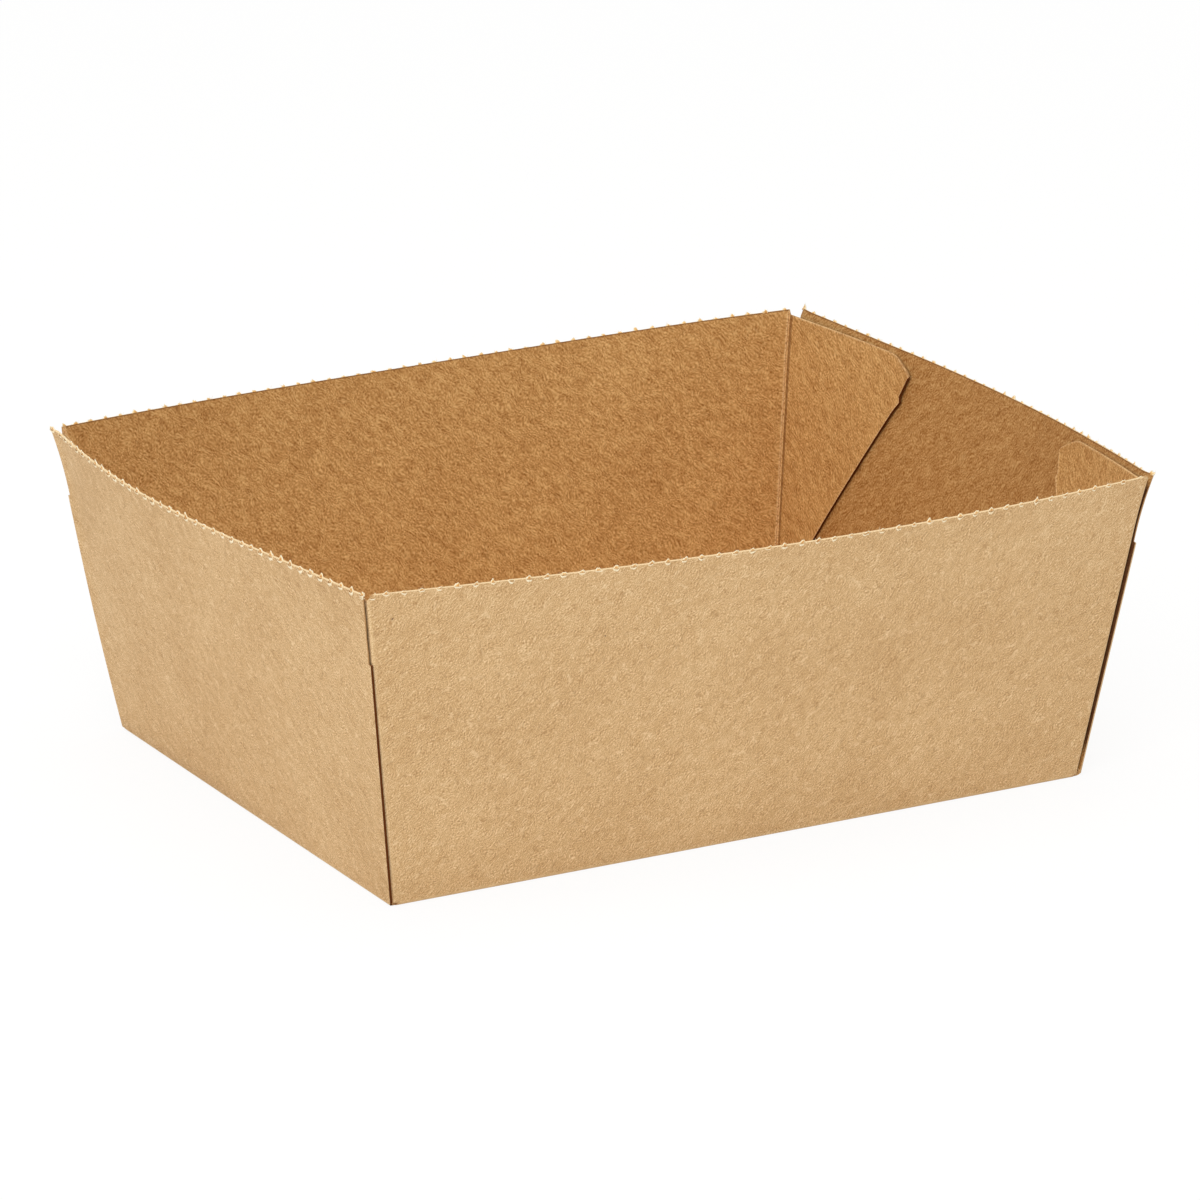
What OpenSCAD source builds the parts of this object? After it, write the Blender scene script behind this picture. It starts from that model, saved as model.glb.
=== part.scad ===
// Paper food box: an open tray, folded and glued from one sheet of brown card.
// The lid is gone. It tore off along the perforations, which left torn ties all round the rim.
// Lengths are in millimetres. The tray stands on z = 0, with its long side along x.

/* [Base] */
// Length of the base, between the folds of the two flapped corners on one side
base_length = 153.5; // [120:0.5:190]
// Width of the base, between the folds of the long walls
base_width = 122; // [95:0.5:150]

/* [Walls] */
// Length of the rim of a long wall, between its corner folds
rim_length = 171; // [140:0.5:210]
// Distance between the corner folds of the two long walls, at the rim
rim_width = 140; // [110:0.5:170]
// Height of the rim's corners above the surface that the tray stands on
rim_height = 64.7; // [40:0.1:90]
// How much higher two opposite corners stand, and how much lower the other two
rim_twist = 1; // [0:0.1:2]
// How far the front rim bows outward
front_bow = 5.2; // [0:0.1:12]
// How far the back rim bows outward
back_bow = 9; // [0:0.1:12]
// How far the left rim bows outward
left_bow = 4.8; // [0:0.1:12]
// How far the right rim bows outward
right_bow = 9.4; // [0:0.1:12]

/* [Card] */
// Thickness of the card
card = 0.5; // [0.35:0.05:0.8]
// Outer radius of the folds
fold_radius = 0.9; // [0.85:0.05:1.5]

/* [End walls] */
// Clear space between a glued flap and the end wall outside it
flap_gap = 0.15; // [0.1:0.05:0.4]
// Distance from the rim down to the step in an end wall's side edge
step_drop = 14.6; // [8:0.2:25]
// How far the side edge stands back above its step
step_depth = 0.7; // [0.3:0.1:1.5]
// Width of the margin along an end wall's side edges that stands off from the flap
loose_margin = 5; // [3:0.5:8]
// Stand-off of the left end wall's front edge, at its step
left_front_gap = 0.2; // [0:0.05:2]
// Stand-off of the left end wall's back edge, at its step
left_back_gap = 0.9; // [0:0.05:2]
// Stand-off of the right end wall's front edge, at its step
right_front_gap = 1.05; // [0:0.05:2]
// Stand-off of the right end wall's back edge, at its step
right_back_gap = 0.8; // [0:0.05:2]
// Height of the upper corners that spring outward
flare_drop = 13; // [6:0.5:16]
// Outward spring of the left end wall's back corner
left_back_flare = 1; // [0:0.1:4]
// Outward spring of the right end wall's front corner
right_front_flare = 1.3; // [0:0.1:4]
// Outward spring of the right end wall's back corner
right_back_flare = 2; // [0:0.1:4]

/* [Glued flaps] */
// Width of a flap, from its corner fold to its outer corner
flap_width = 39.6; // [30:0.2:45]
// Distance from the rim down to the flap's top edge
flap_drop = 1.1; // [0.6:0.1:4]
// Size of the flap's cut corner, along its top edge
flap_cut_width = 5.6; // [3:0.2:9]
// Size of the flap's cut corner, down its outer edge
flap_cut_height = 3; // [1.5:0.1:5]
// Distance from the flap's outer corner back to the nick in its lower edge
nick_place = 2.2; // [1:0.1:5]
// Distance from the flap's outer corner down to the nick
nick_drop = 4.1; // [2:0.1:8]
// Height of the nick in the flap's lower edge
nick_height = 1.6; // [0.5:0.1:3]
// Distance of the glue from the edges of a flap
glue_margin = 6; // [3:0.5:8]

/* [Torn ties] */
// Distance from one torn tie to the next
tie_pitch = 3.56; // [2.5:0.02:6]
// Width of a tie at its root
tie_width = 1.1; // [0.6:0.05:2]
// Mean height of the torn ties above the rim
tie_height = 0.8; // [0.4:0.05:1.5]

/* [Hidden] */

// Distance from the face of a flap's plane out to the end wall's outer face
stand_off = card + flap_gap;
// Part of a tie that lies within the card
tie_root = 0.5;
// A torn tie has lost its outer plies
tie_root_thickness = 0.8*card;
tie_tip_thickness = 0.4*card;
tie_tip_share = 0.45;
// The ties' heights vary between these shares of the mean
tie_shortest = 0.55;
tie_tallest = 1.45;
tie_seed = 7;
// Distance from the last tie to the end of its rim
tie_inset = 0.3;
// A long wall's rim ends this far from the corner fold, and slopes down to the flap's top edge
rim_end = 1.35;
// Length of the small upright edge at a flap's outer corner
corner_edge = 0.6;
// Length of the slope that the nick and the end wall's step have
nick_run = 0.1;
step_run = 0.2;
// How far an end wall's strip reaches onto the base
base_strip = 1.5;
// The glue is at least this high
least_glue = 2;
// A wall's upper corners spring outward past this share of its half length
flare_start = 0.5;
// Cells along a wall, up a long wall, along a flap, round a base fold and round a corner fold
wall_cells = 18;
rise_cells = 5;
flap_cells = 6;
fold_cells = 3;
corner_cells = 5;
// Cells up an end wall, below and above its step, and across its loose margin
lower_cells = 5;
upper_cells = 5;
margin_cells = 4;
// The flap's second column of points lies at this distance from the corner fold
flap_second = 2.7;
// Share of a wall's half length at which its direction at the corner is taken
near_corner = 0.98;
// Where the crest of a bow lies: 0 is the middle, towards 1 is nearer to the wall's right end
front_crest = 0.2;
back_crest = -0.1;
left_crest = -0.5;
right_crest = 0;

// Each wall is described in its own frame: x runs along it to the right as seen from outside,
// y points into the tray, and turn is what brings it to its place.
// [turn, half base length, half rim length, base fold's distance, lean at the corners, bow, crest,
//  twist, gap and flare at the left end, gap and flare at the right end]
long_lean = (rim_width - base_width)/2;
end_lean = (rim_length - base_length)/2;
front = [0, base_length/2, rim_length/2, base_width/2, long_lean, front_bow, front_crest, -rim_twist];
back = [180, base_length/2, rim_length/2, base_width/2, long_lean, back_bow, back_crest, -rim_twist];
left = [270, base_width/2, rim_width/2, base_length/2, end_lean, left_bow, left_crest, rim_twist,
        [left_back_gap, left_back_flare], [left_front_gap, 0]];
right = [90, base_width/2, rim_width/2, base_length/2, end_lean, right_bow, right_crest, rim_twist,
         [right_front_gap, right_front_flare], [right_back_gap, right_back_flare]];
function turn(w) = w[0];
function half_base(w) = w[1];
function half_rim(w) = w[2];
function distance(w) = w[3];
function corner_lean(w) = w[4];
function bow(w) = w[5];
function crest(w) = w[6];
function twist(w) = w[7];
function gap(w, u) = u < 0 ? w[8][0] : w[9][0];
function flare(w, u) = u < 0 ? w[8][1] : w[9][1];

// Length of the wall up its slope, at the corners
function slope_length(w) = norm([rim_height, corner_lean(w)]);
// Half length of the wall at the share h of its height
function half_at(w, h) = half_base(w) + (half_rim(w) - half_base(w))*h;
// How far the rim leans out, and how high it is. The place u runs from -1 to 1 between the folds.
function rim_lean(w, u) = corner_lean(w) + bow(w)*(1 - u*u)*(1 + crest(w)*u);
function rim_level(w, u) = sqrt(pow(slope_length(w), 2) - pow(rim_lean(w, u), 2)) + twist(w)*u;
// Angle of the wall from upright
function lean_angle(w, u) = atan2(rim_lean(w, u), rim_level(w, u));

// A point of a flat card that stands on the line y = -distance, at the share h of the height
// and at a depth below the card's outer face
function upright_point(w, u, h, depth) =
    let (a = lean_angle(w, u))
    [u*half_at(w, h),
     -distance(w) - rim_lean(w, u)*h + depth*cos(a),
     rim_level(w, u)*h + depth*sin(a)];

// The same with a round fold at the base. v runs from below 0, on the flat base, through
// 0 to 1 round the fold, and from 1 to 2 up the wall. Beyond 2 the wall goes on past the rim.
function share_up(w, u, v) =
    let (tangent = fold_tangent(w, u), length = norm([rim_lean(w, u), rim_level(w, u)]))
    (tangent + (length - tangent)*(v - 1))/length;
function fold_tangent(w, u) = fold_radius*tan((90 - lean_angle(w, u))/2);
function folded_point(w, u, v, depth, out) =
    let (tangent = fold_tangent(w, u), turned = (90 - lean_angle(w, u))*v)
    v <= 0 ? [u*(half_base(w) - fold_radius), -distance(w) - out + tangent - v, depth] :
    v < 1 ? [u*half_base(w),
             -distance(w) - out + tangent - (fold_radius - depth)*sin(turned),
             fold_radius - (fold_radius - depth)*cos(turned)] :
    upright_point(w, u, share_up(w, u, v), depth) - [0, out, 0];

// An end wall's side edges stand off from the flaps, up to the gap at the step, and its upper
// corners spring outward
function edge_gap(w, u, h) =
    gap(w, u)*min(1, h/(1 - step_drop/slope_length(w)))
    *pow(max(0, 1 - half_at(w, h)*(1 - abs(u))/loose_margin), 2);
function spring(w, u, h) =
    flare(w, u)*pow(max(0, (abs(u) - flare_start)/(1 - flare_start)), 2)
    *pow(max(0, 1 - (1 - h)*slope_length(w)/flare_drop), 2);
// A point of an end wall, which lies outside the flaps
function end_wall_point(w, u, v, depth) =
    let (h = share_up(w, u, v), loose = v > 1 ? edge_gap(w, u, h) + spring(w, u, h) : 0)
    folded_point(w, u, v, depth, stand_off + loose);

// A length below the rim as a value of v
function below_rim(w, drop) = 2 - drop/slope_length(w);

function unit(a) = a/norm(a);

// Even steps from a to b
function steps(a, b, n) = [for (i = [0:n]) a + (b - a)*i/n];

// Two triangles
function quad(a, b, c, d) = [[a, b, c], [a, c, d]];

// A closed card between two grids of points, which have as many rows and columns. Seen from
// outside, the rows run upward and the columns to the right. A cell may be left out.
module card_sheet(outer, inner, has = function (i, j) true) {
    rows = len(outer) - 1;
    cols = len(outer[0]) - 1;
    function at(side, i, j) = (side*(rows + 1) + i)*(cols + 1) + j;
    function cell(i, j) = i >= 0 && i < rows && j >= 0 && j < cols && has(i, j);
    // The two faces of a cell, and its cut edges, which lie where no cell is beside it
    function cell_faces(i, j) = [
        each quad(at(0, i, j), at(0, i + 1, j), at(0, i + 1, j + 1), at(0, i, j + 1)),
        each quad(at(1, i, j), at(1, i, j + 1), at(1, i + 1, j + 1), at(1, i + 1, j)),
        if (!cell(i - 1, j))
            each quad(at(0, i, j), at(0, i, j + 1), at(1, i, j + 1), at(1, i, j)),
        if (!cell(i + 1, j))
            each quad(at(0, i + 1, j + 1), at(0, i + 1, j), at(1, i + 1, j), at(1, i + 1, j + 1)),
        if (!cell(i, j - 1))
            each quad(at(0, i + 1, j), at(0, i, j), at(1, i, j), at(1, i + 1, j)),
        if (!cell(i, j + 1))
            each quad(at(0, i, j + 1), at(0, i + 1, j + 1), at(1, i + 1, j + 1), at(1, i, j + 1))
    ];
    polyhedron(points = [for (row = outer) each row, for (row = inner) each row],
               faces = [for (i = [0:rows - 1], j = [0:cols - 1]) if (cell(i, j)) each cell_faces(i, j)],
               convexity = 6);
}

// A flap lies on the inner side of the end wall w, at its left (-1) or right (1) end. Its outline
// is given by the distance s from the corner fold and the length t up the slope.
nick_start = flap_width - nick_place;
function flap_top(w) = slope_length(w) - flap_drop;
function above_nick(w) = flap_top(w) - flap_cut_height - corner_edge - nick_drop;
function flap_high(w, s) =
    flap_top(w) - flap_cut_height*max(0, (s - flap_width)/flap_cut_width + 1);
function flap_low(w, s) =
    s <= nick_start ? (above_nick(w) - nick_height)*s/nick_start :
    above_nick(w) + nick_drop*(s - nick_start)/nick_place;
function flap_point(w, side, s, t, depth) =
    let (h = t/slope_length(w))
    upright_point(w, side*(1 - s/half_at(w, h)), h, depth);

// The round fold between the long wall w and the flap at its left (-1) or right (1) end, in the
// wall's frame. The share k runs from 0 at the wall to 1 at the flap. next is the end wall there.
// back_along moves the point back along the wall.
function quarter_turn(side, a) = [-side*a.y, side*a.x, a.z];
function inward(w, side, h) =
    unit(upright_point(w, side*near_corner, h, 0) - upright_point(w, side, h, 0));
function fold_point(w, next, side, k, h, depth, back_along) =
    let (corner = upright_point(w, side, h, 0),
         along = inward(w, side, h),
         flapward = quarter_turn(side, inward(next, -side, h)),
         sine = norm(cross(along, flapward)),
         centre = corner + (along + flapward)*fold_radius/sine,
         tangent = fold_radius*(1 + along*flapward)/sine,
         start = corner + along*tangent - centre,
         end = corner + flapward*tangent - centre)
    centre + unit(start + (end - start)*k)*(fold_radius - depth) + along*back_along;

// The long walls, the base between them and all four flaps, as one sheet without the end walls.
// A row of it runs from the left flap's outer edge to the right flap's, as seen from the front.
flap_columns = concat([flap_width, nick_start + nick_run], steps(nick_start, flap_second, flap_cells));
fold_columns = steps(1, 0, corner_cells);
wall_columns = steps(-1, 1, wall_cells);

// What is folded on at one end of a long wall, at the share g of the height, from outside inward
function end_points(w, next, side, g, depth) =
    let (bottom = fold_radius/slope_length(w),
         top = flap_top(next)/slope_length(next))
    concat([for (s = flap_columns)
                let (low = flap_low(next, s), high = flap_high(next, s))
                quarter_turn(side, flap_point(next, -side, s, low + (high - low)*g, depth))],
           [for (k = fold_columns) fold_point(w, next, side, k, bottom + (top - bottom)*g, depth, 0)],
           [fold_point(w, next, side, 0, bottom + (1 - bottom)*g, depth, rim_end - fold_radius)]);

// The columns of a long wall between its corner folds
inner_columns = [for (i = [1:len(wall_columns) - 2]) wall_columns[i]];
function reversed(a) = [for (i = [len(a) - 1:-1:0]) a[i]];
function wall_row(w, left_wall, right_wall, g, depth) =
    concat(end_points(w, left_wall, -1, g, depth),
           [for (u = inner_columns) folded_point(w, u, 1 + g, depth, 0)],
           reversed(end_points(w, right_wall, 1, g, depth)));

// On the base and round its fold, a row has cells between the corners only
beside = len(flap_columns) + len(fold_columns);
function base_row(w, v, depth) =
    let (points = [for (u = wall_columns) folded_point(w, u, v, depth, 0)])
    concat([for (i = [1:beside]) points[0]], points, [for (i = [1:beside]) points[len(points) - 1]]);

function half_grid(w, left_wall, right_wall, depth) =
    concat([for (i = [0:fold_cells - 1]) base_row(w, i/fold_cells, depth)],
           [for (g = steps(0, 1, rise_cells)) wall_row(w, left_wall, right_wall, g, depth)]);

// The back half is turned round, so its rows and points run the other way
function turned_round(rows) =
    reversed([for (row = rows) reversed([for (a = row) [-a.x, -a.y, a.z]])]);

module long_walls_with_base() {
    function grid(depth) =
        concat(turned_round(half_grid(back, right, left, depth)), half_grid(front, left, right, depth));
    rows = len(grid(0)) - 1;
    columns = len(grid(0)[0]) - 1;
    card_sheet(grid(0), grid(card),
               function (i, j)
                   i < rise_cells || i >= rows - rise_cells || (j >= beside && j < columns - beside));
}

// An end wall's side edges step back near the rim
module end_wall(w) {
    step_v = below_rim(w, step_drop);
    rows = concat([-base_strip], steps(0, 1 - 1/fold_cells, fold_cells - 1), steps(1, step_v, lower_cells),
                  steps(below_rim(w, step_drop - step_run), 2, upper_cells));
    margin = loose_margin/half_rim(w);
    columns = concat(steps(-1, margin - 1, margin_cells), inner_columns,
                     steps(1 - margin, 1, margin_cells));
    function reach(v) = v > step_v ? 1 - step_depth/half_rim(w) : 1;
    function grid(depth) =
        [for (v = rows) [for (u = columns)
            end_wall_point(w, max(-reach(v), min(reach(v), u)), v, depth)]];
    card_sheet(grid(0), grid(card));
}

// The glue between a flap and its end wall, from the middle of the one's card to the other's
module glue(w, side) {
    high = slope_length(w) - max(flap_drop + glue_margin, flare_drop);
    columns = steps(glue_margin, flap_width - flap_cut_width - glue_margin, 3);
    ordered = side < 0 ? columns : reversed(columns);
    function low(s) = min(flap_low(w, s) + glue_margin, high - least_glue);
    function grid(in_end_wall) =
        [for (k = steps(0, 1, 2)) [for (s = ordered)
            let (t = low(s) + (high - low(s))*k,
                 h = t/slope_length(w),
                 u = side*(1 - s/half_at(w, h)),
                 away = in_end_wall ? stand_off + edge_gap(w, u, h) + spring(w, u, h) : 0)
            upright_point(w, u, h, card/2) - [0, away, 0]]];
    card_sheet(grid(true), grid(false));
}

// A torn tie of the perforation tapers from its root in the card. A hull keeps its sides flat.
module tie(w, place, height, on_end_wall) {
    function row(v, width, depth) =
        [for (x = [-width/2, width/2])
            let (u = (place + x)/half_rim(w))
            on_end_wall ? end_wall_point(w, u, v, depth) : folded_point(w, u, v, depth, 0)];
    function side(away) =
        [row(below_rim(w, tie_root), tie_width, card/2 + away*tie_root_thickness),
         row(below_rim(w, -height), tie_width*tie_tip_share, card/2 + away*tie_tip_thickness)];
    hull() card_sheet(side(-0.5), side(0.5));
}

module ties(w, reach, on_end_wall) {
    last = reach - tie_inset - tie_width/2;
    count = round(2*last/tie_pitch);
    heights = rands(tie_shortest*tie_height, tie_tallest*tie_height, count + 1, tie_seed + turn(w));
    for (i = [0:count]) tie(w, last*(2*i/count - 1), heights[i], on_end_wall);
}

// One folded sheet: the base, the two long walls with a flap at each end, and the two end walls
module tray() {
    color("#d0aa78") union() {
        long_walls_with_base();
        for (w = [front, back]) rotate([0, 0, turn(w)]) ties(w, half_rim(w) - rim_end, false);
        for (w = [left, right]) rotate([0, 0, turn(w)]) {
            end_wall(w);
            ties(w, half_rim(w) - step_depth, true);
            for (side = [-1, 1]) glue(w, side);
        }
    }
}

tray();
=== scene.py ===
import random
from dataclasses import dataclass
from math import atan2, cos, hypot, pi, radians, sin, sqrt, tan

import bmesh
import bpy
from mathutils import Matrix, Vector


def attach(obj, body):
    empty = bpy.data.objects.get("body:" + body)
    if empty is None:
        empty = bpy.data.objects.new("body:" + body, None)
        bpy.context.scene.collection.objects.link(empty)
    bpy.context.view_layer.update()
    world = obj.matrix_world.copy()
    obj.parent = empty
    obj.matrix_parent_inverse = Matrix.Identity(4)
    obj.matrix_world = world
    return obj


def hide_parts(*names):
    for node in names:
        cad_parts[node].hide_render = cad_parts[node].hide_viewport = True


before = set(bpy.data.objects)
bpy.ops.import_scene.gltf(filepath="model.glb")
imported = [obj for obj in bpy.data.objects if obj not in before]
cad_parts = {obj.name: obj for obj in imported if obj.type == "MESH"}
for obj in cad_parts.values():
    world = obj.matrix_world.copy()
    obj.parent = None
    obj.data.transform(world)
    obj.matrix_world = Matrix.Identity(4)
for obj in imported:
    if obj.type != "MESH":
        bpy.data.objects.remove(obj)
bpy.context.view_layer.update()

# Sizes are in millimetres, as in the part's source, and each mesh is brought to metres at its end.
METRES = 0.001

BASE_LENGTH, BASE_WIDTH = 153.5, 122
RIM_LENGTH, RIM_WIDTH, RIM_HEIGHT = 171, 140, 64.7
RIM_TWIST = 1
CARD = 0.5
FOLD_RADIUS = 0.9
FLAP_GAP = 0.15
STAND_OFF = CARD + FLAP_GAP
STEP_DROP, STEP_DEPTH, STEP_RUN = 14.6, 0.7, 0.2
LOOSE_MARGIN = 5
FLARE_DROP, FLARE_START = 13, 0.5
FLAP_WIDTH, FLAP_DROP = 39.6, 1.1
FLAP_CUT_WIDTH, FLAP_CUT_HEIGHT = 5.6, 3
FLAP_CORNER_EDGE = 0.6
FLAP_ROUNDING = 0.3
FLAP_END_REACH, FLAP_END_DROP = 1.2, 0.4
NICK_PLACE, NICK_DROP, NICK_HEIGHT, NICK_RUN, NICK_TOOTH = 2.2, 4.7, 1.0, 0.1, 0.35
FLAP_LIFT_REACH, FLAP_EDGE_LIFT, FLAP_CORNER_LIFT = 5, 0.1, 0.25
TIE_PITCH, TIE_WIDTH, TIE_HEIGHT = 3.6, 1.2, 0.8
END_TIES = 37
# A long wall's rim ends this far from the corner fold
RIM_END = 1.35
NEAR_CORNER = 0.98
# How far a left end's bulge already stands out at the base, as a share of the height
BULGE_FOOT = 0.12


@dataclass(frozen=True)
class Wall:
    """A wall in its own frame: x runs along it to the right as seen from outside, and y into the
    tray. The place u runs from -1 to 1 along it, v from 0 to 1 round its base fold and from 1 to 2
    up to its rim, and the depth goes from the card's outer face into the card.

    The last five are an end wall's, the pairs for its left and its right: how far its side edges
    stand off and its upper corners spring out, how far it bulges at its left, the share of this
    that the folds behind follow, and how dark its cut edges are painted as shade."""
    turn: int
    half_base: float
    half_rim: float
    distance: float
    corner_lean: float
    bow: float
    crest: float
    twist: float
    gaps: tuple = None
    flares: tuple = None
    belly: float = 0
    follows: tuple = (0, 0)
    cut_shades: tuple = (0.4, 0.4)

    @property
    def is_end(self):
        return self.gaps is not None

    @property
    def slope(self):
        return hypot(RIM_HEIGHT, self.corner_lean)

    @property
    def to_place(self):
        return Matrix.Rotation(radians(self.turn), 3, "Z")

    def half_at(self, h):
        return self.half_base + (self.half_rim - self.half_base)*h

    def lean(self, u):
        return self.corner_lean + self.bow*(1 - u*u)*(1 + self.crest*u)

    def level(self, u):
        return sqrt(self.slope**2 - self.lean(u)**2) + self.twist*u

    def angle(self, u):
        return atan2(self.lean(u), self.level(u))

    def upright(self, u, h, depth=0):
        a = self.angle(u)
        return Vector((u*self.half_at(h),
                       -self.distance - self.lean(u)*h + depth*cos(a),
                       self.level(u)*h + depth*sin(a)))

    def tangent(self, u):
        return FOLD_RADIUS*tan((pi/2 - self.angle(u))/2)

    def share_up(self, u, v):
        length = hypot(self.lean(u), self.level(u))
        return (self.tangent(u) + (length - self.tangent(u))*(v - 1))/length

    def loose(self, u, h):
        """How far an end wall's side edge stands off from the flap behind it."""
        if not self.is_end:
            return 0
        side = 0 if u < 0 else 1
        edge = max(0, 1 - self.half_at(h)*(1 - abs(u))/LOOSE_MARGIN)**2
        gap = self.gaps[side]*min(1, h/(1 - STEP_DROP/self.slope))*edge
        bulge = min(1, (h + BULGE_FOOT)/(1 + BULGE_FOOT - STEP_DROP/self.slope))
        gap += self.belly*(1 - u)/2*max(0, sin(pi*bulge))
        corner = max(0, (abs(u) - FLARE_START)/(1 - FLARE_START))**2
        return gap + self.flares[side]*corner*max(0, 1 - (1 - h)*self.slope/FLARE_DROP)**2

    def point(self, u, v, depth=0):
        out = STAND_OFF if self.is_end else 0
        if v < 1:
            turned = (pi/2 - self.angle(u))*v
            half = self.half_base - (FOLD_RADIUS*(1 - v) if self.is_end else 0)
            return Vector((u*half,
                           -self.distance - out + self.tangent(u) - (FOLD_RADIUS - depth)*sin(turned),
                           FOLD_RADIUS - (FOLD_RADIUS - depth)*cos(turned)))
        h = self.share_up(u, v)
        return self.upright(u, h, depth) - Vector((0, out + self.loose(u, h), 0))

    def below_rim(self, u, v):
        return self.slope*(1 - self.share_up(u, v))


long_lean = (RIM_WIDTH - BASE_WIDTH)/2
end_lean = (RIM_LENGTH - BASE_LENGTH)/2
LONG_SIDE = (BASE_LENGTH/2, RIM_LENGTH/2, BASE_WIDTH/2, long_lean)
END_SIDE = (BASE_WIDTH/2, RIM_WIDTH/2, BASE_LENGTH/2, end_lean)
front = Wall(0, *LONG_SIDE, 5.2, 0.2, -RIM_TWIST)
back = Wall(180, *LONG_SIDE, 9, -0.1, -RIM_TWIST)
left = Wall(270, *END_SIDE, 4.8, -0.5, RIM_TWIST, gaps=(0.9, -0.15), flares=(1, 0), belly=0.5,
            cut_shades=(0.4, 1.0))
right = Wall(90, *END_SIDE, 9.4, 0, RIM_TWIST, gaps=(1.05, 0.8), flares=(1.3, 2), follows=(0.55, 0.15),
             cut_shades=(0.3, 0.4))


def steps(a, b, n):
    """Even steps from a to b."""
    return [a + (b - a)*i/n for i in range(n + 1)]


# Rows up a wall. They are close together at the rim, where its colour changes within a millimetre.
NEAR_RIM = [3.5, 1.5, 0.7, 0.3, 0.12, 0]
FOLD_ROWS = steps(0, 1, 6)


def rows_up(wall):
    near = [2 - drop/wall.slope for drop in NEAR_RIM]
    return steps(1, near[0], 18)[:-1] + near


# The glued flaps, which are described on the inner side of the end wall next to them, by the
# distance s from the corner fold and the length t up the slope.
nick_start = FLAP_WIDTH - NICK_PLACE


def flap_high(end, s):
    cut = (s - FLAP_WIDTH)/FLAP_CUT_WIDTH + 1
    if abs(cut) < FLAP_ROUNDING:
        cut = (cut + FLAP_ROUNDING)**2/(4*FLAP_ROUNDING)
    end_round = max(0, 1 - (FLAP_WIDTH - s)/FLAP_END_REACH)**2*FLAP_END_DROP
    return end.slope - FLAP_DROP - FLAP_CUT_HEIGHT*max(0, cut) - end_round


def flap_low(end, s):
    above_nick = end.slope - FLAP_DROP - FLAP_CUT_HEIGHT - FLAP_CORNER_EDGE - NICK_DROP
    if s <= nick_start:
        return (above_nick - NICK_HEIGHT)*s/nick_start
    return above_nick + NICK_DROP*(s - nick_start)/NICK_PLACE


def quarter_turn(side, a):
    return Vector((-side*a.y, side*a.x, a.z))


def corner_fold(wall, end, side, k, h, back_along=0):
    """A point of the round fold between a long wall and its flap, in the wall's frame."""
    def inward(w, s):
        return (w.upright(s*NEAR_CORNER, h) - w.upright(s, h)).normalized()

    along = inward(wall, side)
    flapward = quarter_turn(side, inward(end, -side))
    sine = along.cross(flapward).length
    corner = wall.upright(side, h)
    centre = corner + (along + flapward)*FOLD_RADIUS/sine
    tangent = FOLD_RADIUS*(1 + along.dot(flapward))/sine
    start = corner + along*tangent - centre
    finish = corner + flapward*tangent - centre
    return centre + (start + (finish - start)*k).normalized()*FOLD_RADIUS + along*back_along


# What the finishes need to know of a place on the card: its distance below the rim and from the
# nearest fold, which is less than zero on a flap, how dark its cut edge is painted as shade, how
# much painted shade its outer or inner face gets where another layer hides it, how much darker its
# paper is, its distance from a flap's edge, and its thickness, which the bead inside a fold adds to.
FACTS = ("below_rim", "crease", "dark_cut", "hidden_outside", "hidden_inside", "deeper", "to_edge", "thick")
BEAD_PLACE, BEAD_HALF_WIDTH, BEAD_HEIGHT = 1.0, 0.7, 0.15
CREASE_THINNER, CREASE_HALF_WIDTH = 0.12, 0.3
FAR_FROM_EDGE = 9
# How much thinner the card is along its cut edges, and how far in that reaches
EDGE_PRESSED, PRESSED_REACH = 0.2, 1.2
# How much darker the paper of the end walls is, and how dark the shade painted on their torn
# side edges is
END_WALL_DEEPER, TORN_CUT_SHADE = 0.4, 0.5
# The painted shade on what a flap hides of an end wall begins this far inside the flap's low
# edge and end, and its top
HIDDEN_INSET, HIDDEN_INSET_TOP = 4, 1.5
# A long wall's end is drawn out to this far from its corner fold, and less and less beyond it
DRAWN_REACH, DRAWN_FADE = 2.5, 8
# How much of the painted shade on a hidden face is kept above the end walls' step, and how far
# from the fold
SHOWN_SHADE, SHOWN_REACH = 0.35, 1.5
# The share of the way up from a flap's slanting edge that is its distance from that edge
SLANT = 0.62


def card_facts(below_rim, crease, **more):
    off_bead = min(1, abs(crease - BEAD_PLACE)/BEAD_HALF_WIDTH)
    thick = CARD + BEAD_HEIGHT*(1 + cos(pi*off_bead))/2
    if abs(crease) < CREASE_HALF_WIDTH:
        thick -= CREASE_THINNER
    return {"below_rim": below_rim, "crease": crease, "thick": thick, "to_edge": FAR_FROM_EDGE, **more}


class Sheet:
    """The outer face of the card, made of grids that are joined where they meet. Each vertex
    keeps its place on the flat blank, in the vector blank."""

    def __init__(self):
        self.bm = bmesh.new()
        self.blank = self.bm.verts.layers.float_vector.new("blank")
        self.facts = {name: self.bm.verts.layers.float.new(name) for name in FACTS}

    def panel(self, turn, columns, rows):
        """Each column is a function that gives what is known of its vertex in a row."""
        grid = bmesh.ops.create_grid(self.bm, x_segments=len(columns) - 1, y_segments=len(rows) - 1, size=1)
        for vertex in grid["verts"]:
            column = columns[round((vertex.co.x + 1)/2*(len(columns) - 1))]
            row = rows[round((vertex.co.y + 1)/2*(len(rows) - 1))]
            place, flat, facts = column(row)
            vertex.co = turn @ place
            vertex[self.blank] = turn @ Vector((*flat, 0))
            for name, layer in self.facts.items():
                vertex[layer] = facts.get(name, 0)


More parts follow.
